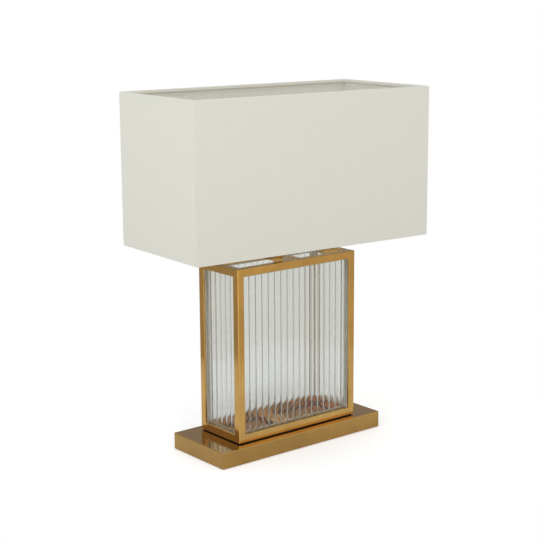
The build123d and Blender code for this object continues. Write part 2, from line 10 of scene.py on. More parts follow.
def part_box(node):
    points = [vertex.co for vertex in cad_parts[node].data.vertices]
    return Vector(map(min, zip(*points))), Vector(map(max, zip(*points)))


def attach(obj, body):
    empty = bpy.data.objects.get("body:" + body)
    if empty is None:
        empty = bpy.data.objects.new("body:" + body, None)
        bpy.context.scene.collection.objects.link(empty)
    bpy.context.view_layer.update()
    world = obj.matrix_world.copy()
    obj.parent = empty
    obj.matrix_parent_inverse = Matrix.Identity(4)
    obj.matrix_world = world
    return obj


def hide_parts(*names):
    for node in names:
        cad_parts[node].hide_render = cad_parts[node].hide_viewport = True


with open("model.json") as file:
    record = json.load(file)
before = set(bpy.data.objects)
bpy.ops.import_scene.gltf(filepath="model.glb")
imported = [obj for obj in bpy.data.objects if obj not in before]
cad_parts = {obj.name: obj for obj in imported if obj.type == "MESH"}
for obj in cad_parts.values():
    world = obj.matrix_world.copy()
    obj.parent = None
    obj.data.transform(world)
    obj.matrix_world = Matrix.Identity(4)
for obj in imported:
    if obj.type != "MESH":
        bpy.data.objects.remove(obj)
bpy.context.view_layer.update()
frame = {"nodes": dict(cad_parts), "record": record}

# A table lamp: a glazed column in a brass frame on a flat brass base, under a rectangular fabric shade.
# Metres, +Z up, the front of the lamp faces -Y. Places come from the frame's own nodes.

sides = ("front", "right", "back", "left")
posts = [f"corner_post_{corner}" for corner in ("front_left", "front_right", "back_left", "back_right")]
rails = [f"{level}_rail_{side}" for level in ("top", "bottom") for side in sides]

# Sizes that several pieces share.
shade_length, shade_depth, shade_turn = 0.402, 0.197, radians(-3.65)
fabric_wall, lining_wall = 0.0004, 0.0008
carrier_wire = 0.00175          # radius of the rim wires and arms
bolt_radius = 0.003
fine_pitch, cap_pitch = 0.001, 0.0036      # threads of bolt and stem, and of the bulb's cap and its shell
eased = 0.0003                  # usual rounding of a turned edge
play = 0.0002                   # usual gap round a bolt or stem
past = 0.001                    # how far a cutter reaches past what it cuts


def span(*nodes):
    """Lowest and highest corner of some of the frame's nodes together."""
    boxes = [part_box(node) for node in nodes]
    low = Vector([min(box[0][i] for box in boxes) for i in range(3)])
    high = Vector([max(box[1][i] for box in boxes) for i in range(3)])
    return low, high


# --- modelling by hand, in small steps ---

def deselect():
    bpy.ops.object.select_all(action="DESELECT")


def take(piece):
    """Selects one piece and nothing else."""
    deselect()
    piece.select_set(True)
    bpy.context.view_layer.objects.active = piece


def fix_place(piece):
    """Puts a piece's place, turn and size into its mesh, so that its object stands at the origin."""
    take(piece)
    bpy.ops.object.transform_apply(location=True, rotation=True, scale=True)


def turn_by(piece, angle):
    """Turns a piece about the lamp's axis."""
    piece.rotation_euler.z = angle
    fix_place(piece)


def named(name):
    """Names the piece that the last operator made."""
    piece = bpy.context.object
    piece.name = name
    return piece


def block(name, low, high):
    """A cube between two corners."""
    deselect()
    bpy.ops.mesh.primitive_cube_add(size=1, location=(low + high) / 2, scale=high - low)
    piece = named(name)
    fix_place(piece)
    return piece


def hexagon(name, flats, low, high, corners_aside):
    """A hexagonal bar between two levels, with its corners to the sides or to front and back."""
    deselect()
    bpy.ops.mesh.primitive_cylinder_add(vertices=6, radius=flats / sqrt(3), depth=high - low,
                                        location=(0, 0, (low + high) / 2))
    piece = named(name)
    turn_by(piece, radians(30) if corners_aside else 0)
    return piece


def shape(piece, kind="FACE"):
    """Opens a piece in edit mode with nothing selected."""
    bpy.context.view_layer.objects.active = piece
    bpy.ops.object.mode_set(mode="EDIT")
    bpy.ops.mesh.select_mode(type=kind)
    bpy.ops.mesh.select_all(action="DESELECT")


def pick_all():
    bpy.ops.mesh.select_all(action="SELECT")


def done():
    bpy.ops.object.mode_set(mode="OBJECT")


def pick_faces(piece, wanted):
    """Selects the faces for which wanted(middle, normal) holds, in edit mode."""
    bpy.ops.mesh.select_mode(type="FACE")
    bpy.ops.mesh.select_all(action="DESELECT")
    mesh = bmesh.from_edit_mesh(piece.data)
    mesh.normal_update()
    for face in mesh.faces:
        if wanted(face.calc_center_median(), face.normal):
            face.select_set(True)
    bmesh.update_edit_mesh(piece.data)


def draw_out(x, y, z):
    """Extrudes the selected edges by a step."""
    bpy.ops.mesh.extrude_edges_move(TRANSFORM_OT_translate={"value": (x, y, z)})


def apply(piece, kind, **settings):
    """Adds a modifier and applies it."""
    take(piece)
    modifier = piece.modifiers.new(kind.lower(), kind)
    for name, value in settings.items():
        setattr(modifier, name, value)
    bpy.ops.object.modifier_apply(modifier=modifier.name)


def close_up(piece, distance=1e-5):
    """Merges doubled points and turns every face outwards."""
    shape(piece, "VERT")
    pick_all()
    bpy.ops.mesh.remove_doubles(threshold=distance)
    bpy.ops.mesh.normals_make_consistent(inside=False)
    done()


def smooth(piece, angle=35):
    take(piece)
    bpy.ops.object.shade_smooth_by_angle(angle=radians(angle))


def lies(value, target, near=2e-5):
    return abs(value - target) < near


def every_edge(middle, direction):
    return True


def upright(middle, direction):
    return abs(direction.z) > 0.9


def round_edges(piece, *rules, segments=4):
    """Rounds edges. A rule is a radius and a test of an edge's middle and direction; the first that
    fits counts. Edges between faces that lie almost flat are left as they are."""
    almost_flat = radians(5)
    largest = max(radius for radius, test in rules)
    mesh = bmesh.new()
    mesh.from_mesh(piece.data)
    weight = mesh.edges.layers.float.new("bevel_weight_edge")
    for edge in mesh.edges:
        start, end = (vert.co for vert in edge.verts)
        middle, direction = (start + end) / 2, (end - start).normalized()
        if edge.is_manifold and edge.calc_face_angle() < almost_flat:
            continue
        for radius, test in rules:
            if test(middle, direction):
                edge[weight] = radius / largest
                break
    mesh.to_mesh(piece.data)
    mesh.free()
    smooth(piece, 80)
    apply(piece, "BEVEL", limit_method="WEIGHT", width=largest, segments=segments, harden_normals=True)


def join(pieces):
    """Joins pieces into the first."""
    deselect()
    for piece in pieces:
        piece.select_set(True)
    bpy.context.view_layer.objects.active = pieces[0]
    bpy.ops.object.join()
    return pieces[0]


def copy_of(piece, name, angle=0.0):
    """A copy with its own mesh, turned about the lamp's axis."""
    take(piece)
    bpy.ops.object.duplicate(linked=False)
    made = named(name)
    turn_by(made, angle)
    return made


def chain(name, points):
    """A line through points: a plane merged to one corner, extruded from point to point."""
    deselect()
    bpy.ops.mesh.primitive_plane_add(size=0.001)
    piece = named(name)
    bpy.ops.object.mode_set(mode="EDIT")
    bpy.ops.mesh.select_mode(type="VERT")
    pick_all()
    bpy.ops.mesh.merge(type="CENTER")
    bpy.ops.transform.translate(value=points[0])
    for start, end in zip(points, points[1:]):
        step = Vector(end) - Vector(start)
        bpy.ops.mesh.extrude_vertices_move(TRANSFORM_OT_translate={"value": step})
    return piece


def rectangle(name, length, depth, level):
    """Four edges round a rectangle, open in edit mode and all selected."""
    deselect()
    bpy.ops.mesh.primitive_plane_add(size=1, location=(0, 0, level))
    piece = named(name)
    piece.scale = (length, depth, 1)
    fix_place(piece)
    shape(piece, "EDGE")
    pick_all()
    bpy.ops.mesh.delete(type="ONLY_FACE")
    pick_all()
    return piece


def lathe(name, outline, ease=0.0, closed=True, segments=96):
    """A turned piece: an outline of (radius, level) corners, eased and spun round the lamp's axis."""
    path = [(radius, 0, level) for radius, level in outline]
    piece = chain(name, path + path[:1] if closed else path)
    pick_all()
    bpy.ops.mesh.remove_doubles(threshold=1e-6)
    if ease:
        bpy.ops.mesh.bevel(offset=ease, segments=3, affect="VERTICES")
    pick_all()
    bpy.ops.mesh.spin(steps=segments, angle=2 * pi, center=(0, 0, 0), axis=(0, 0, 1))
    done()
    close_up(piece, 2e-6)
    smooth(piece, 30)
    return piece


def carve(piece, cutter, operation="DIFFERENCE"):
    """Cuts a piece with another, which is used up."""
    apply(piece, "BOOLEAN", operation=operation, object=cutter, solver="EXACT")
    bpy.data.objects.remove(cutter)


def thread(name, root, crest, pitch, low, high, wall):
    """A rolled thread: one turn's wave wound upwards, cut level at both ends and given a wall."""
    points = 8 if pitch > 0.002 else 4
    wave = []
    for i in range(points + 1):
        swell = 0.5 - 0.5 * cos(2 * pi * i / points)
        wave.append((root + (crest - root) * swell, 0, low - pitch + pitch * i / points))
    piece = chain(name, wave)
    done()
    turns = int((high - low) / pitch) + 3
    apply(piece, "SCREW", axis="Z", angle=2 * pi, screw_offset=pitch, iterations=turns, steps=64,
          render_steps=64, use_merge_vertices=True, merge_threshold=1e-6)
    close_up(piece, 1e-6)
    shape(piece, "VERT")
    for level, cleared in ((low, {"clear_inner": True}), (high, {"clear_outer": True})):
        pick_all()
        bpy.ops.mesh.bisect(plane_co=(0, 0, level), plane_no=(0, 0, 1), **cleared)
    done()
    apply(piece, "SOLIDIFY", thickness=wall, offset=-1)
    smooth(piece, 50)
    return piece


def nut(name, node, flats, bore):
    """A hexagon nut, its corners turned off at the top, its bore countersunk."""
    low, high = span(node)
    drop, inset = 0.0008, 0.0002
    piece = hexagon(name, flats, low.z, high.z, high.x > high.y)
    reach, crown = flats / sqrt(3) + inset, flats / 2 - inset
    turned_off = [(0, low.z), (reach, low.z), (reach, high.z - drop), (crown, high.z), (0, high.z)]
    carve(piece, lathe("crown", turned_off), "INTERSECT")
    top = high.z + drop / 2 + past
    drill = [(0, low.z - past), (bore, low.z - past), (bore, high.z - drop / 2),
             (bore + drop + past, top), (0, top)]
    carve(piece, lathe("drill", drill))
    close_up(piece, 5e-6)
    smooth(piece, 30)
    return piece


def bent_wire(name, points, radius, bend, closed=False):
    """A round wire bent along a line of points."""
    path = list(points) + (list(points[:1]) if closed else [])
    piece = chain(name, path)
    pick_all()
    bpy.ops.mesh.remove_doubles(threshold=1e-6)
    bpy.ops.mesh.bevel(offset=bend, segments=6, affect="VERTICES")
    done()
    bpy.ops.object.convert(target="CURVE")
    piece = bpy.context.object
    piece.data.dimensions = "3D"
    piece.data.bevel_depth = radius
    piece.data.bevel_resolution = 4
    piece.data.use_fill_caps = True
    bpy.ops.object.convert(target="MESH")
    piece = bpy.context.object
    fix_place(piece)
    close_up(piece, 1e-6)
    smooth(piece, 50)
    return piece


def weld(place, size):
    """A drop of metal at a joint, flattened to a size."""
    deselect()
    bpy.ops.mesh.primitive_uv_sphere_add(segments=20, ring_count=12, radius=1, location=place, scale=size)
    drop = named("weld")
    fix_place(drop)
    smooth(drop, 80)
    return drop


def facing_back(piece, distance, level):
    """Lays a turned piece with its axis out of the lamp's back."""
    piece.rotation_euler.x = -pi / 2
    piece.location = (0, distance, level)
    fix_place(piece)
    return piece


def fit_height(piece, low, high):
    """Moves a piece so that it stands between two levels."""
    heights = [corner[2] for corner in piece.bound_box]
    piece.location.z = (low + high - min(heights) - max(heights)) / 2
    fix_place(piece)


# --- shader nodes ---

first_colour, second_colour, mixed_colour = 6, 7, 2      # a Mix node's colour sockets


def add(material, kind, inputs=None, **settings):
    """Adds a node. An input takes a number, a colour or another node's output."""
    made = material.node_tree.nodes.new(kind)
    for name, value in settings.items():
        setattr(made, name, value)
    for key, value in (inputs or {}).items():
        if isinstance(value, bpy.types.NodeSocket):
            material.node_tree.links.new(value, made.inputs[key])
        else:
            made.inputs[key].default_value = value
    return made


def new_material(name, **finish):
    """A material whose shader takes these finishes, given by the shader's socket names."""
    material = bpy.data.materials.new(name)
    material.use_nodes = True
    shader = material.node_tree.nodes["Principled BSDF"]
    for socket, value in finish.items():
        shader.inputs[socket.replace("_", " ")].default_value = value
    return material, shader


def feed(material, value, socket):
    material.node_tree.links.new(value, socket)


def place_of(material, scale=(1, 1, 1)):
    """A piece's own coordinates in metres, stretched."""
    place = add(material, "ShaderNodeTexCoord").outputs["Object"]
    return add(material, "ShaderNodeMapping", {"Vector": place, "Scale": scale}).outputs["Vector"]


def noise(material, scale, detail=3.0, roughness=0.5, stretch=(1, 1, 1)):
    inputs = {"Vector": place_of(material, stretch), "Scale": scale, "Detail": detail, "Roughness": roughness}
    return add(material, "ShaderNodeTexNoise", inputs).outputs["Fac"]


def math(material, operation, first, second=0.0):
    return add(material, "ShaderNodeMath", {0: first, 1: second}, operation=operation).outputs[0]


def spread(material, value, low, high, from_low=0.35, from_high=0.65):
    """Maps a noise value to a range."""
    inputs = {"Value": value, "From Min": from_low, "From Max": from_high, "To Min": low, "To Max": high}
    return add(material, "ShaderNodeMapRange", inputs).outputs["Result"]


def between(material, factor, first, second):
    """A colour between two colours."""
    inputs = {"Factor": factor, first_colour: (*first, 1), second_colour: (*second, 1)}
    return add(material, "ShaderNodeMix", inputs, data_type="RGBA").outputs[mixed_colour]


def bump(material, height, depth, strength=1.0):
    inputs = {"Height": height, "Distance": depth, "Strength": strength}
    return add(material, "ShaderNodeBump", inputs).outputs["Normal"]


def shades_of(colour, darker, lighter):
    """A colour made a little darker and a little lighter."""
    dark = tuple(part * darker for part in colour)
    light = tuple(min(1.0, part * lighter) for part in colour)
    return dark, light


def plain_finish(name, colour, roughness, grain=900.0, depth=0.00001, shift=0.15, **finish):
    """A finish with a fine grain: its tone and gloss drift a little and its surface is not quite even.
    Grain is the noise's scale per metre, depth the height of its bumps, shift the share its tone drifts."""
    material, shader = new_material(name, **finish)
    drift = noise(material, grain / 12)
    fine = noise(material, grain)
    dark, light = shades_of(colour, 1 - shift, 1 + shift)
    feed(material, between(material, spread(material, drift, 0, 1), dark, light), shader.inputs["Base Color"])
    feed(material, spread(material, fine, roughness * 0.85, roughness * 1.15), shader.inputs["Roughness"])
    feed(material, bump(material, fine, depth), shader.inputs["Normal"])
    return material


def brass_finish(name, colour, roughness):
    """Antique brass: lacquered, with faint clouding, rub marks and slightly darker tarnish."""
    material, shader = new_material(name, Metallic=1.0, Coat_Weight=0.3, Coat_Roughness=0.06)
    cloud = noise(material, 22, 4, 0.6)
    rub = noise(material, 160, 3, 0.6, (1, 1, 0.12))
    dark, light = shades_of(colour, 0.9, 1.06)
    feed(material, between(material, spread(material, cloud, 0, 1), dark, light), shader.inputs["Base Color"])
    gloss = math(material, "ADD", spread(material, cloud, -0.015, 0.015), spread(material, rub, -0.01, 0.01))
    feed(material, math(material, "ADD", gloss, roughness), shader.inputs["Roughness"])
    return material


def glass_finish():
    """Clear soda glass, very slightly green, and a little less so here and there."""
    material, shader = new_material("fluted_glass_clear", Transmission_Weight=1.0, IOR=1.5, Roughness=0.0)
    green, clear = (0.955, 0.972, 0.955), (0.965, 0.978, 0.964)
    feed(material, between(material, noise(material, 30, 2), green, clear), shader.inputs["Base Color"])
    return material


def weave_finish():
    """Ivory fabric: a fine plain weave, its threads a little thicker here and there."""
    material, shader = new_material("ivory_linen", Roughness=0.85, Sheen_Weight=0.2, Sheen_Roughness=0.5)
    across = noise(material, 900, 2, 0.6, (1, 1, 0.04))
    along = noise(material, 900, 2, 0.6, (0.04, 0.04, 1))
    slub = math(material, "ADD", across, along)
    tone = spread(material, slub, 0.0, 1.0, 0.75, 1.25)
    darker, lighter = (0.695, 0.68, 0.60), (0.715, 0.70, 0.62)
    feed(material, between(material, tone, darker, lighter), shader.inputs["Base Color"])
    feed(material, bump(material, slub, 0.00004, 0.3), shader.inputs["Normal"])
    return material


frame_brass = brass_finish("antique_brass_tube", (0.62, 0.37, 0.105), 0.15)
slab_brass = brass_finish("antique_brass_slab", (0.455, 0.268, 0.074), 0.14)
neck_brass = brass_finish("antique_brass_neck", (0.60, 0.36, 0.11), 0.18)
pane_glass = glass_finish()
# Pale putty colour for the panes' cut ends and the beads' upright faces, made light as painted light over the
# shade between pane and post.
putty_and_painted_light = plain_finish("pale_putty_and_painted_edge_light", (0.80, 0.78, 0.70), 0.6, shift=0.04)
# Dull brass for the glazing strips, made lighter as painted light that lifts their shade; on the panes' top
# and bottom faces it is a painted reflection of the brass channel.
dull_brass_and_painted_light = plain_finish("dull_brass_strip_and_painted_light", (0.60, 0.46, 0.27), 0.5, shift=0.06, Metallic=0.3)
linen = weave_finish()
lining = plain_finish("off_white_lining", (0.74, 0.72, 0.66), 0.6, shift=0.03)
white_coat = plain_finish("white_powder_coat", (0.80, 0.79, 0.76), 0.45, shift=0.03)
black_plastic = plain_finish("black_bakelite", (0.035, 0.033, 0.03), 0.25)
white_ceramic = plain_finish("white_steatite", (0.82, 0.80, 0.75), 0.5, shift=0.04)
bright_brass = plain_finish("bright_brass", (0.80, 0.60, 0.26), 0.22, shift=0.06, Metallic=1.0)
zinc_steel = plain_finish("zinc_steel", (0.62, 0.61, 0.58), 0.3, shift=0.08, Metallic=1.0)
bulb_metal = plain_finish("bulb_metal", (0.80, 0.80, 0.80), 0.25, shift=0.05, Metallic=1.0)
bulb_black = plain_finish("bulb_black", (0.03, 0.03, 0.03), 0.15)
bulb_white = plain_finish("bulb_white", (0.86, 0.86, 0.84), 0.4, shift=0.02)
opal = plain_finish("opal_glass", (0.90, 0.895, 0.87), 0.12, shift=0.02)
cast_iron = plain_finish("cast_iron", (0.10, 0.10, 0.10), 0.7, 400, 0.0002)
black_steel = plain_finish("stoved_black_steel", (0.05, 0.048, 0.045), 0.45)
felt = plain_finish("brown_felt", (0.07, 0.05, 0.038), 0.95, 1400, 0.0003)
nylon = plain_finish("black_nylon", (0.04, 0.036, 0.033), 0.5)
rubber = plain_finish("foam_rubber", (0.022, 0.018, 0.015), 0.8, 1200, 0.0002)

finish_of = {
    "column_brass": frame_brass, "base_brass": slab_brass, "neck_brass": neck_brass,
    "ballast_iron": cast_iron, "cover_steel": black_steel, "fastener_steel": zinc_steel,
    "pad_felt": felt, "bush_plastic": nylon, "gasket_rubber": rubber, "fluted_glass": pane_glass,
    "holder_plastic": black_plastic, "insulator_ceramic": white_ceramic, "holder_brass": bright_brass,
    "bulb_metal": bulb_metal, "bulb_black": bulb_black, "bulb_white": bulb_white, "opal_glass": opal,
    "shade_fabric": linen, "shade_lining": lining, "carrier_white": white_coat,
}


def dress(piece, body, slot, *nodes):
    """Gives a piece its finish, its body and the nodes that it stands for."""
    piece.data.materials.clear()
    piece.data.materials.append(finish_of[slot])
    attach(piece, body)
    if nodes:
        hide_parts(*nodes)


for part in frame["record"]["subparts"]:
    node = frame["nodes"][part["node"]]
    node.data.materials.clear()
    node.data.materials.append(finish_of[part["material_slot"]])


# --- brass base ---

def base_slab():
    """The pressed slab, open below, with its corners and top edges eased by polishing."""
    low, high = span("base_shell")
    wall, corner, top_edge, foot_edge = 0.002, 0.0025, 0.0012, 0.0004
    slab = block("base_slab", low, high)
    shape(slab)
    pick_faces(slab, lambda middle, normal: normal.z < -0.5)
    bpy.ops.mesh.delete(type="FACE")
    done()
    apply(slab, "SOLIDIFY", thickness=wall, offset=-1, use_even_offset=True)

    def at_end(point):
        return lies(abs(point.x), high.x)

    def at_side(point):
        return lies(abs(point.y), high.y)

    round_edges(slab, (corner, lambda middle, _: at_end(middle) and at_side(middle)),
                (top_edge, lambda middle, _: lies(middle.z, high.z)),
                (foot_edge, lambda middle, _: lies(middle.z, low.z) and (at_end(middle) or at_side(middle))),
                segments=5)
    bush_low, bush_high = span("cable_inlet_bush")
    hole, reach = 0.0052, 0.01
    drill = lathe("drill", [(0, -reach), (hole, -reach), (hole, reach), (0, reach)])
    carve(slab, facing_back(drill, high.y, (bush_low.z + bush_high.z) / 2))
    dress(slab, "root", "base_brass", "base_shell")


def inlet_bush():
    """The flanged nylon bush that the lead would enter by."""
    low, high = span("cable_inlet_bush")
    wall = span("base_shell")[1].y
    bore, neck, flange, ease = 0.0036, 0.005, (high.x - low.x) / 2, 0.0006
    inner_end, outer_end = low.y - wall, high.y - wall
    outline = [(bore, inner_end), (neck, inner_end), (neck, 0), (flange, 0), (flange, outer_end),
               (bore + ease, outer_end)]
    bush = lathe("inlet_bush", outline, ease)
    facing_back(bush, wall, (low.z + high.z) / 2)
    dress(bush, "root", "bush_plastic", "cable_inlet_bush")


def under_base():
    """The cover plate and the felt pad, each with its rim eased."""
    for name, node, slot, corner, edge in (("cover_plate", "base_cover", "cover_steel", 0.002, 0.0004),
                                           ("felt_pad", "base_pad", "pad_felt", 0.0025, 0.0005)):
        low, high = span(node)
        plate = block(name, low, high)
        round_edges(plate, (corner, upright), segments=6)
        round_edges(plate, (edge, lambda middle, _: lies(middle.z, low.z)), segments=3)
        dress(plate, "root", slot, node)


# --- glazed column ---

def column_frame():
    """Twelve square tubes brazed and polished to one seamless frame."""
    low, high = span(*posts, *rails)
    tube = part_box(posts[0])[1][0] - low.x
    corner, ridge, window_edge = 0.002, 0.001, 0.0005
    whole = block("column_frame", low, high)
    shape(whole)
    pick_all()
    bpy.ops.mesh.inset(thickness=tube, use_individual=True)
    bpy.ops.mesh.delete(type="FACE")
    done()
    apply(whole, "SOLIDIFY", thickness=tube, offset=-1, use_even_offset=True)
    close_up(whole)

    def at_end(point):
        return lies(abs(point.x), high.x)

    def at_side(point):
        return lies(abs(point.y), high.y)

    round_edges(whole, (corner, lambda middle, _: at_end(middle) and at_side(middle)),
                (ridge, lambda middle, _: lies(middle.z, high.z) and (at_end(middle) or at_side(middle))),
                (window_edge, every_edge))
    dress(whole, "root", "column_brass", *posts, *rails)


def pane(names, nodes, turn):
    """Two fluted panes that face each other. Wide shallow flutes rise steeply into narrow rounded ribs;
    the backs are flat. The cut ends take a pale putty colour with painted light, and top and bottom
    are painted dull brass, a painted reflection of the brass that they sit in."""
    low, high = span(nodes[0])
    air = 0.00012          # under the pane and behind it
    pitch = 0.0116
    floor_radius, floor_slope = 0.035, radians(6.5)
    rib_radius, flank_slope = 0.0006, radians(75)
    rib_half = rib_radius * sin(flank_slope)
    floor_half = floor_radius * sin(floor_slope)
    flank_radius = (pitch / 2 - rib_half - floor_half) / (sin(flank_slope) - sin(floor_slope))
    across, through = (0, 1) if turn == 0 else (1, 0)
    width, distance = high[across] - low[across], -low[through]
    thickness = high[through] - low[through] - air
    point, heading = Vector((-width / 2, -distance, low.z + air)), 0.0
    glass = chain(names[0], [point])
    easing = floor_slope - flank_slope
    for radius, bend, steps in ((rib_radius, flank_slope, 3), (flank_radius, easing, 6),
                                (floor_radius, -2 * floor_slope, 4), (flank_radius, easing, 6),
                                (rib_radius, flank_slope, 3)):
        side = 1 if bend > 0 else -1
        centre = point + side * radius * Vector((-sin(heading), cos(heading), 0))
        bpy.ops.mesh.spin(steps=steps, angle=-bend, center=centre, axis=(0, 0, 1))
        heading += bend
        point = centre - side * radius * Vector((-sin(heading), cos(heading), 0))
    done()
    apply(glass, "ARRAY", count=round(width / pitch), use_relative_offset=False, use_constant_offset=True,
          constant_offset_displace=(pitch, 0, 0), use_merge_vertices=True, merge_threshold=1e-5)
    shape(glass, "EDGE")
    pick_all()
    draw_out(0, thickness, 0)
    bpy.ops.transform.resize(value=(1, 0, 1), center_override=(0, thickness - distance, 0))
    pick_all()
    bpy.ops.mesh.extrude_region_move(TRANSFORM_OT_translate={"value": (0, 0, high.z - low.z - air)})
    done()
    close_up(glass)
    smooth(glass, 30)
    turn_by(glass, turn)
    twin = copy_of(glass, names[1], pi)
    ends = Vector((cos(turn), sin(turn), 0))
    for piece, node in ((glass, nodes[0]), (twin, nodes[1])):
        dress(piece, "root", "fluted_glass", node)
        piece.data.materials.append(dull_brass_and_painted_light)
        piece.data.materials.append(putty_and_painted_light)
        # Painted reflection and light: top and bottom faces take the dull brass, the cut ends the pale putty
        # colour.
        for face in piece.data.polygons:
            if abs(face.normal.z) > 0.9:
                face.material_index = 1
            elif abs(face.normal.dot(ends)) > 0.99:
                face.material_index = 2


def bead(names, nodes, through):
    """The four glazing strips behind a pane, mitred into one picture frame, and their twins on the other
    side of the column. Through is the axis that they look along: 0 for X, 1 for Y."""
    low, high = span(nodes[0])
    strip = high[through] - low[through]
    strips = block(names[0], low, high)
    inset = Vector((strip, strip, strip))
    hole_low, hole_high = low + inset, high - inset
    hole_low[through], hole_high[through] = low[through] - strip, high[through] + strip
    carve(strips, block("hole", hole_low, hole_high))
    round_edges(strips, (strip / 6, every_edge), segments=2)
    dress(strips, "root", "column_brass", nodes[0])
    twin = copy_of(strips, names[1], pi)
    dress(twin, "root", "column_brass", nodes[1])
    # The strips take the lightened dull brass, and their upright faces the pale putty colour: painted light
    # that lifts the shade between pane and post.
    for piece in (strips, twin):
        piece.data.materials[0] = dull_brass_and_painted_light
        piece.data.materials.append(putty_and_painted_light)
        for face in piece.data.polygons:
            if low.z + strip < face.center.z < high.z - strip:
                face.material_index = 1


def crossbar(name, node, edge, hole):
    """A flat bar between front and back rail, drilled in its middle."""
    low, high = span(node)
    bar = block(name, low, high)
    bottom, top = low.z - past, high.z + past
    carve(bar, lathe("drill", [(0, bottom), (hole, bottom), (hole, top), (0, top)]))
    round_edges(bar, (edge, lambda middle, direction: abs(direction.y) > 0.9), segments=3)
    dress(bar, "root", "column_brass", node)


def gasket():
    """The dark rubber strip that the column stands on, with a tongue under the floor bar."""
    low, high = span("frame_gasket")
    bar_low, bar_high = span("bottom_crossbar")
    corner = 0.002
    strip = block("rubber_strip", low, high)
    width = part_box(posts[0])[1][0] - low.x
    for start, end in ((low.x + width, bar_low.x), (bar_high.x, high.x - width)):
        carve(strip, block("hole", Vector((start, low.y + width, low.z - past)),
                           Vector((end, high.y - width, high.z + past))))
    round_edges(strip, (corner, lambda middle, direction: upright(middle, direction)
                        and lies(abs(middle.x), high.x)), segments=4)
    dress(strip, "root", "gasket_rubber", "frame_gasket")


# --- what holds the column and carries the lampholder ---

def centre_fixings():
    """The bolt that clamps the column to the base, with its washer and nut."""
    low, high = span("centre_bolt")
    head_top = span("base_ballast")[0].z
    core, root, tip, flats = bolt_radius - 0.0003, bolt_radius - 0.0006, 0.0006, 0.010
    bolt = lathe("clamp_bolt", [(0, head_top), (core, head_top), (core, high.z - tip), (core - tip, high.z),
                                (0, high.z)], closed=False, segments=48)
    turns = thread("bolt_thread", root, bolt_radius, fine_pitch, span("base_shell")[1].z, high.z - tip,
                   0.0002)
    nut_high = span("centre_nut")[1]
    head = hexagon("bolt_head", flats, low.z, head_top, nut_high.x > nut_high.y)
    round_edges(head, (0.0004, lambda middle, _: lies(middle.z, low.z)), segments=2)
    dress(join([bolt, turns, head]), "root", "neck_brass", "centre_bolt")
    low, high = span("centre_washer")
    hole = bolt_radius + play
    washer = lathe("clamp_washer", [(hole, low.z), (high.x, low.z), (high.x, high.z), (hole, high.z)], 0.0002)
    dress(washer, "root", "neck_brass", "centre_washer")
    dress(nut("clamp_nut", "centre_nut", flats, bolt_radius), "root", "neck_brass", "centre_nut")


def stem_and_neck():
    """The threaded tube through the top bar, its nut and washers, and the sleeve that hides it."""
    low, high = span("stem_tube")
    radius, core, root, bore = high.x, high.x - 0.0006, high.x - 0.0007, 0.0035
    tube = lathe("stem", [(bore, low.z), (core, low.z), (core, high.z), (bore, high.z)], eased)
    turns = thread("stem_thread", root, radius, fine_pitch, low.z + play, high.z - play, 0.0003)
    dress(join([tube, turns]), "root", "neck_brass", "stem_tube")
    dress(nut("under_nut", "stem_nut", 0.014, radius), "root", "neck_brass", "stem_nut")
    low, high = span("stem_washers")
    bar_low, bar_high = span("top_crossbar")
    hole, ease = radius + play, 0.00025
    washers = [lathe(name, [(hole, bottom), (high.x, bottom), (high.x, top), (hole, top)], ease)
               for name, bottom, top in (("bar_washers", low.z, bar_low.z), ("upper", bar_high.z, high.z))]
    dress(join(washers), "root", "neck_brass", "stem_washers")
    low, high = span("neck_sleeve")
    outer, waist, band = high.x, high.x - 0.0004, 0.0016      # a raised band at each end
    slope = band * 1.3
    sleeve = lathe("neck", [(hole, low.z), (outer, low.z), (outer, low.z + band), (waist, low.z + slope),
                            (waist, high.z - slope), (outer, high.z - band), (outer, high.z),
                            (hole, high.z)], ease)
    dress(sleeve, "root", "neck_brass", "neck_sleeve")


# --- lampholder ---

def holder_cap():
    """The black lower cap: a foot round the stem, a flare, and a fine groove under its rim."""
    low, high = span("holder_cap")
    bore = span("stem_tube")[1].x
    foot, outer, wall = 0.0095, high.x, 0.002
    waist, floor = low.z + 0.009, low.z + 0.0055
    groove, groove_depth = high.z - 0.0011, 0.0005
    cap = lathe("holder_lower_cap", [
        (bore, low.z), (foot, low.z), (outer - 0.0012, waist - 0.002), (outer, waist + 0.0012),
        (outer, groove - groove_depth), (outer - groove_depth, groove), (outer, groove + groove_depth),
        (outer, high.z), (outer - wall, high.z), (outer - wall, waist + wall / 2),
        (foot, low.z + wall * 1.5), (foot - wall / 2, floor), (bore, floor)], eased)
    dress(cap, "root", "holder_plastic", "holder_cap")


def holder_body():
    """The black upper body: a shoulder for the shade, a thread for its ring, and a mouth with a lip."""
    low, high = span("holder_body")
    shoulder_top = low.z + 0.0025
    inner, mouth, lip = 0.0153, 0.0139, 0.0012
    crest = 0.0195
    root = crest - 0.001
    body = lathe("holder_upper_body", [
        (inner, low.z), (high.x, low.z), (high.x, shoulder_top), (root, shoulder_top),
        (root, high.z - 0.0014), (root - 0.0012, high.z), (mouth, high.z), (mouth, high.z - lip),
        (inner, high.z - lip)], eased)
    turns = thread("body_thread", root, crest, 0.0025, shoulder_top + 0.0006, high.z - 0.0024, 0.0004)
    dress(join([body, turns]), "root", "holder_plastic", "holder_body")


def holder_inside():
    """The ceramic cup and the rolled screw shell in it."""
    low, high = span("holder_insulator")
    bore, floor = 0.0139, low.z + 0.004
    cup = lathe("ceramic_cup", [(0, low.z), (high.x, low.z), (high.x, high.z), (bore, high.z), (bore, floor),
                                (0, floor)], 0.0004, closed=False)
    dress(cup, "root", "insulator_ceramic", "holder_insulator")
    low, high = span("screw_shell")
    shell = thread("rolled_shell", high.x - 0.0007, high.x, cap_pitch, low.z, high.z, 0.0003)
    dress(shell, "root", "holder_brass", "screw_shell")


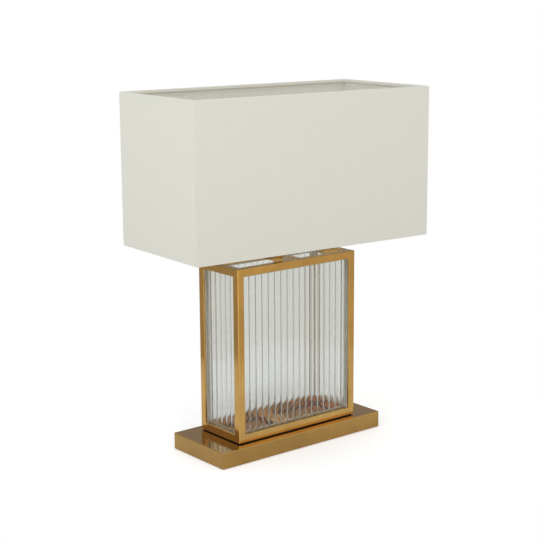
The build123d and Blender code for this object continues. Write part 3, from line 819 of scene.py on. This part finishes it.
def contact_tongue():
    """The springy brass strip on the cup's floor, raised in the middle to meet the bulb."""
    low, high = span("centre_contact")
    end, foot, sheet = high.x, 0.003, 0.0005
    top = high.z - sheet
    tongue = chain("contact_tongue", [(-end, low.y, low.z), (-foot, low.y, top), (foot, low.y, top),
                                      (end, low.y, low.z)])
    pick_all()
    bpy.ops.mesh.bevel(offset=0.0012, segments=4, affect="VERTICES")
    pick_all()
    draw_out(0, high.y - low.y, 0)
    pick_all()
    bpy.ops.mesh.normals_make_consistent(inside=False)
    done()
    apply(tongue, "SOLIDIFY", thickness=sheet, offset=1)
    shape(tongue)
    pick_all()
    bpy.ops.mesh.normals_make_consistent(inside=False)
    done()
    smooth(tongue, 40)
    fit_height(tongue, low.z, high.z)
    dress(tongue, "root", "holder_brass", "centre_contact")


def terminals():
    """Two slotted screws under the cup that the lead's cores would be clamped by."""
    low, high = span("terminal_screws")
    head_top = span("holder_insulator")[0].z
    shank, head, offset = 0.00175, 0.003, 0.0085
    slot_half, slot_depth = 0.0004, 0.0008
    screws = []
    for place in (-offset, offset):
        screw = lathe("terminal", [(0, low.z), (head, low.z), (head, head_top), (shank, head_top),
                                   (shank, high.z), (0, high.z)], eased, closed=False, segments=48)
        carve(screw, block("slot", Vector((-head - past, -slot_half, low.z - past)),
                           Vector((head + past, slot_half, low.z + slot_depth))))
        screw.location.x = place
        fix_place(screw)
        screws.append(screw)
    dress(join(screws), "root", "fastener_steel", "terminal_screws")


def ring():
    """The flanged shade ring, with eight finger grips and a fluted hub."""
    low, high = span("shade_ring")
    bore, outer = 0.01956, high.x
    hub = bore + 0.0022
    flange_top = low.z + 0.0024
    collar = lathe("clamp_ring", [(bore, low.z), (outer, low.z), (outer, low.z + 0.0012),
                                  (hub + 0.0006, flange_top), (hub, flange_top + 0.0008), (hub, high.z),
                                  (bore, high.z)], eased)
    length = 0.02
    for grips, radius, distance, floor in ((8, 0.0016, outer, low.z - past),
                                           (24, 0.0007, hub + 0.0004, flange_top + 0.0004)):
        cutters = []
        for i in range(grips):
            angle = 2 * pi * i / grips
            place = (distance * cos(angle), distance * sin(angle), floor + length / 2)
            deselect()
            bpy.ops.mesh.primitive_cylinder_add(vertices=20, radius=radius, depth=length, location=place)
            cutters.append(bpy.context.object)
        cutter = join(cutters)
        fix_place(cutter)
        carve(collar, cutter)
    close_up(collar, 5e-6)
    smooth(collar, 30)
    dress(collar, "shade_ring", "holder_plastic", "shade_ring")


# --- bulb ---

def bulb_foot():
    """The metal tip and the black glass between it and the screw cap."""
    low, high = span("bulb_contact")
    tip = lathe("bulb_tip", [(0, low.z), (high.x * 0.6, low.z), (high.x, low.z + 0.0006), (high.x, high.z),
                             (0, high.z)], eased, closed=False, segments=48)
    dress(tip, "bulb", "bulb_metal", "bulb_contact")
    low, high = span("bulb_insulator")
    foot, belly, belly_level = 0.008, 0.0105, (low.z + high.z) / 2 - 0.0004
    glassy = lathe("bulb_black_glass", [(0, low.z), (foot, low.z), (belly, belly_level), (high.x, high.z),
                                        (0, high.z)], eased, closed=False)
    dress(glassy, "bulb", "bulb_black", "bulb_insulator")


def bulb_cap():
    """The rolled screw cap with its plain sleeve, and the white collar above it."""
    low, high = span("bulb_cap")
    crest, root, plain = high.x, high.x - 0.0009, 0.0035
    start = high.z - plain
    turns = thread("bulb_screw_cap", root, crest, cap_pitch, low.z, start, 0.0003)
    sleeve = lathe("cap_sleeve", [(root, start - 0.0002), (crest - 0.0003, start + 0.001),
                                  (crest - 0.0001, high.z), (crest - 0.0004, high.z),
                                  (root - 0.0003, start - 0.0002)])
    dress(join([turns, sleeve]), "bulb", "bulb_metal", "bulb_cap")
    low, high = span("bulb_collar")
    inner, flare = crest - 0.0004, low.z + 0.0018
    collar = lathe("bulb_skirt", [(inner, low.z), (crest, low.z), (high.x, flare), (high.x, high.z),
                                  (inner, high.z)], eased)
    dress(collar, "bulb", "bulb_white", "bulb_collar")


def bulb_globe():
    """The opal globe: a flank that swells out of the collar and runs on into a ball."""
    low, high = span("bulb_globe")
    radius, mouth, wall = high.x, 0.015, 0.001
    centre, slope = high.z - radius, radians(33)
    meeting = Vector((radius * cos(slope), 0, centre - radius * sin(slope)))
    foot = Vector((mouth, 0, low.z))
    pull = (meeting - foot).length * 0.4      # how strongly the flank keeps its two directions
    flank = interpolate_bezier(foot, foot + Vector((0, 0, pull)),
                               meeting - pull * Vector((sin(slope), 0, cos(slope))), meeting, 12)
    globe = chain("opal_globe", flank)
    bpy.ops.mesh.spin(steps=20, angle=pi / 2 + slope, center=(0, 0, centre), axis=(0, 1, 0))
    pick_all()
    bpy.ops.mesh.spin(steps=96, angle=2 * pi, center=(0, 0, 0), axis=(0, 0, 1))
    done()
    close_up(globe, 5e-6)
    apply(globe, "SOLIDIFY", thickness=wall, offset=-1)
    smooth(globe, 50)
    dress(globe, "bulb", "opal_glass", "bulb_globe")


# --- shade ---

def shade_skin():
    """The fabric skin, wrapped over both rim wires, folded in behind them and glued back to the lining."""
    low, high = span("shade_fabric", "shade_top_hem", "shade_bottom_hem")
    height = high.z - low.z
    hem = 0.010                         # how far it runs down inside
    fold, lapped = 0.0047, 0.0018       # how far in it stands, over the wire and on the lining
    outline = [(0.0, height / 2), (0.0, height - 0.0018), (0.0006, height - 0.0006), (lapped, height),
               (fold - 0.0014, height), (fold - 0.0004, height - 0.0005), (fold, height - 0.0016),
               (fold, height - 0.0040), (lapped, height - 0.0068), (lapped, height - hem)]
    mirrored = [(inset, height - level) for inset, level in outline]
    path = list(reversed(mirrored)) + outline[1:]
    inset, level = path[0]
    skin = rectangle("shade_skin", shade_length - 2 * inset, shade_depth - 2 * inset, low.z + level)
    for (inset, level), (next_inset, next_level) in zip(path, path[1:]):
        draw_out(0, 0, next_level - level)
        narrower = (shade_length - 2 * next_inset) / (shade_length - 2 * inset)
        shallower = (shade_depth - 2 * next_inset) / (shade_depth - 2 * inset)
        bpy.ops.transform.resize(value=(narrower, shallower, 1), center_override=(0, 0, 0))
    done()
    close_up(skin)
    apply(skin, "SOLIDIFY", thickness=fabric_wall, offset=-1, use_even_offset=True)
    smooth(skin, 35)
    turn_by(skin, shade_turn)
    dress(skin, "shade", "shade_fabric", "shade_fabric", "shade_top_hem", "shade_bottom_hem")


def shade_lining():
    """The stiff lining behind the fabric, with its overlap at the back, and the fabric's seam there."""
    low, high = span("shade_liner")
    length, depth = shade_length - 2 * fabric_wall, shade_depth - 2 * fabric_wall
    panels = rectangle("stiff_lining", length, depth, low.z)
    draw_out(0, 0, high.z - low.z)
    done()
    close_up(panels)
    apply(panels, "SOLIDIFY", thickness=lining_wall, offset=-1, use_even_offset=True)
    start, overlap_end, seam_end, edge = 0.12, 0.134, 0.132, 0.0002
    inner, outer = depth / 2 - lining_wall, shade_depth / 2
    hem_clear, rim_clear = 0.011, 0.0014
    overlap = block("overlap", Vector((start, inner - 0.0005, low.z + hem_clear)),
                    Vector((overlap_end, inner + 0.0002, high.z - hem_clear)))
    round_edges(overlap, (edge, every_edge), segments=2)
    lined = join([panels, overlap])
    turn_by(lined, shade_turn)
    dress(lined, "shade", "shade_lining", "shade_liner")
    seam = block("back_seam", Vector((start, outer - 0.0002, low.z + rim_clear)),
                 Vector((seam_end, outer + 0.00035, high.z - rim_clear)))
    round_edges(seam, (edge, every_edge), segments=2)
    turn_by(seam, shade_turn)
    dress(seam, "shade", "shade_fabric")


def shade_carrier():
    """The rim wires, the fitter ring and the four arms, welded together and coated."""
    wire = carrier_wire
    set_in = fabric_wall + lining_wall + wire
    half_length, half_depth = shade_length / 2 - set_in, shade_depth / 2 - set_in
    rim_bend, arm_bend = 0.005, 0.002
    quarters = ((-1, -1), (1, -1), (1, 1), (-1, 1))
    for name, node in (("top_wire", "shade_top_wire"), ("bottom_wire", "shade_bottom_wire")):
        low, high = span(node)
        rim_level = (low.z + high.z) / 2
        corners = [(along * half_length, aside * half_depth, rim_level) for along, aside in quarters]
        rim = bent_wire(name, corners, wire, rim_bend, closed=True)
        turn_by(rim, shade_turn)
        dress(rim, "shade", "carrier_white", node)
    low, high = span("fitter_ring")
    bore, arm_spread, lap = 0.0203, 0.068, 0.00325      # lap: how far an arm runs in under the fitter
    plate = lathe("fitter", [(bore, low.z), (high.x, low.z), (high.x, high.z), (bore, high.z)], 0.0004)
    dress(plate, "shade", "carrier_white", "fitter_ring")
    under = Vector((0, 0, low.z - wire))
    arms = []
    for along, aside in quarters:
        outer = Vector((along * arm_spread, aside * half_depth, rim_level))
        direction = Vector((outer.x, outer.y, 0)).normalized()
        inner = direction * (high.x - lap) + under
        knee = direction * (high.x + wire) + under
        slope = (outer - knee).normalized()
        arms.append(bent_wire("arm", [inner, knee, outer - wire * slope], wire, arm_bend))
        arms.append(weld(outer - wire * 1.2 * slope, (0.0026, 0.0022, 0.0019)))
        arms.append(weld(inner + direction * 0.0026 + Vector((0, 0, wire / 2)), (0.0024, 0.0024, 0.0012)))
    welded = join(arms)
    welded.name = "carrier_arms"
    turn_by(welded, shade_turn)
    dress(welded, "shade", "carrier_white", "fitter_arms")


base_slab()
under_base()
inlet_bush()
column_frame()
pane(("front_pane", "back_pane"), ("glass_pane_front", "glass_pane_back"), 0)
pane(("left_pane", "right_pane"), ("glass_pane_left", "glass_pane_right"), -pi / 2)
bead(("front_bead", "back_bead"), ("pane_bead_front", "pane_bead_back"), 1)
bead(("left_bead", "right_bead"), ("pane_bead_left", "pane_bead_right"), 0)
crossbar("top_bar", "top_crossbar", 0.0008, 0.00515)
crossbar("floor_bar", "bottom_crossbar", 0.0007, 0.0032)
gasket()
centre_fixings()
stem_and_neck()
holder_cap()
holder_body()
holder_inside()
contact_tongue()
terminals()
ring()
bulb_foot()
bulb_cap()
bulb_globe()
shade_skin()
shade_lining()
shade_carrier()


# --- studio ---

def studio_table():
    """A white table top; the camera sees it as white as the backdrop, shadows apart, and through it from
    below. It lies a hair under the felt."""
    breadth, corner, drop = 0.86, 0.08, 0.0002
    deselect()
    bpy.ops.mesh.primitive_plane_add(size=breadth, location=(0, 0, -drop))
    table = named("table")
    shape(table, "VERT")
    pick_all()
    bpy.ops.mesh.bevel(offset=corner, segments=8, affect="VERTICES")
    done()
    material, shader = new_material("white_table", Roughness=0.8)
    shader.inputs["Base Color"].default_value = (0.88, 0.88, 0.88, 1)
    shader.inputs["Emission Color"].default_value = (1, 1, 1, 1)
    lift = 0.3      # what brings the lit table up to the backdrop's white
    sees = add(material, "ShaderNodeLightPath").outputs["Is Camera Ray"]
    feed(material, math(material, "MULTIPLY", sees, lift), shader.inputs["Emission Strength"])
    underside = add(material, "ShaderNodeNewGeometry").outputs["Backfacing"]
    from_below = math(material, "MULTIPLY", sees, underside)
    feed(material, math(material, "SUBTRACT", 1.0, from_below), shader.inputs["Alpha"])
    table.data.materials.append(material)


def studio_world():
    """Pale surroundings: white to the camera, soft white as light, and a darker room in brass and glass."""
    world = bpy.data.worlds.new("studio")
    bpy.context.scene.world = world
    world.use_nodes = True
    nodes, links = world.node_tree.nodes, world.node_tree.links
    nodes.remove(nodes["Background"])
    towards_sky = nodes.new("ShaderNodeTexCoord").outputs["Generated"]

    def background(colour):
        made = nodes.new("ShaderNodeBackground")
        if isinstance(colour, bpy.types.NodeSocket):
            links.new(colour, made.inputs["Color"])
        else:
            made.inputs["Color"].default_value = (*colour, 1)
        return made.outputs[0]

    def mixed(factor, first, second):
        made = nodes.new("ShaderNodeMixShader")
        for key, value in enumerate((factor, first, second)):
            links.new(value, made.inputs[key])
        return made.outputs[0]

    def ranged(value, low, high):
        """Maps a value's range to 0 to 1."""
        made = nodes.new("ShaderNodeMapRange")
        links.new(value, made.inputs["Value"])
        made.inputs["From Min"].default_value = low
        made.inputs["From Max"].default_value = high
        return made.outputs["Result"]

    def glow(behind, towards, edge, core, colour):
        """A soft round patch of another colour in the mirrored room, towards one direction. Edge and core
        are the cosines of the angles where it starts and where it is full."""
        nearness = nodes.new("ShaderNodeVectorMath")
        nearness.operation = "DOT_PRODUCT"
        links.new(towards_sky, nearness.inputs[0])
        nearness.inputs[1].default_value = Vector(towards).normalized()
        patch = nodes.new("ShaderNodeMix")
        patch.data_type = "RGBA"
        links.new(ranged(nearness.outputs["Value"], edge, core), patch.inputs["Factor"])
        links.new(behind, patch.inputs[first_colour])
        patch.inputs[second_colour].default_value = (*colour, 1)
        return patch.outputs[mixed_colour]

    height = nodes.new("ShaderNodeSeparateXYZ")
    links.new(towards_sky, height.inputs[0])
    room = nodes.new("ShaderNodeValToRGB")
    links.new(ranged(height.outputs["Z"], -1, 1), room.inputs[0])
    stops = room.color_ramp.elements
    # From straight down (0) over the horizon (0.5) to straight up (1): warm floor, dark wall, pale ceiling.
    bands = ((0.0, (0.57, 0.52, 0.46)), (0.42, (0.66, 0.60, 0.52)), (0.5, (0.62, 0.56, 0.48)),
             (0.56, (0.30, 0.27, 0.25)), (0.66, (0.34, 0.32, 0.31)), (0.8, (0.75, 0.75, 0.75)),
             (1.0, (0.9, 0.9, 0.9)))
    for place, colour in bands[2:]:
        stops.new(place)
    for stop, (place, colour) in zip(stops, bands):
        stop.position = place
        stop.color = (*colour, 1)
    window = glow(room.outputs[0], (-0.25, -0.85, 0.45), 0.40, 0.65, (1.25, 1.15, 0.95))
    dim_corner = glow(window, (-0.63, 0.78, -0.25), 0.70, 0.95, (0.45, 0.41, 0.36))
    path = nodes.new("ShaderNodeLightPath").outputs
    seen = background((1, 1, 1))
    light = background((0.80, 0.80, 0.80))
    behind_glass = background((0.68, 0.675, 0.65))
    inside = mixed(path["Is Glossy Ray"], light, background(dim_corner))
    inside = mixed(path["Is Transmission Ray"], inside, behind_glass)
    links.new(mixed(path["Is Camera Ray"], inside, seen), nodes["World Output"].inputs["Surface"])


def softbox(place, size, power, colour):
    """A square studio light, its size in metres and its power in watts, pointed at the lamp's middle."""
    middle = Vector((0, 0, 0.25))
    bpy.ops.object.light_add(type="AREA", location=place)
    light = bpy.context.object
    light.data.size = size
    light.data.energy = power
    light.data.color = colour
    light.rotation_euler = (middle - light.location).to_track_quat("-Z", "Y").to_euler()


def camera():
    """The photograph's own viewpoint, found from the lamp's straight edges."""
    azimuth, elevation, roll = radians(-38.82), radians(11.92), radians(-0.39)
    distance, aim_height, aim_sideways = 1.97017, 0.25688, -0.01166
    turned = Matrix.Rotation(azimuth, 4, "Z") @ Matrix.Rotation(pi / 2 - elevation, 4, "X")
    right, back = turned.col[0].xyz, turned.col[2].xyz
    place = Vector((0, 0, aim_height)) + aim_sideways * right + distance * back
    bpy.ops.object.camera_add()
    made = bpy.context.object
    made.data.lens = 89.67
    made.data.sensor_width = 36
    made.matrix_world = Matrix.Translation(place) @ turned @ Matrix.Rotation(roll, 4, "Z")
    bpy.context.scene.camera = made


studio_table()
studio_world()
softbox(place=(-1.9, -0.5, 1.2), size=1.3, power=9.5, colour=(0.80, 0.90, 1.0))
softbox(place=(-0.7, -2.1, 1.5), size=1.3, power=7, colour=(1.0, 0.95, 0.86))
softbox(place=(-1.75, -1.75, 0.75), size=0.7, power=2.0, colour=(1.0, 0.98, 0.94))
camera()
bpy.context.scene.view_settings.view_transform = "Standard"
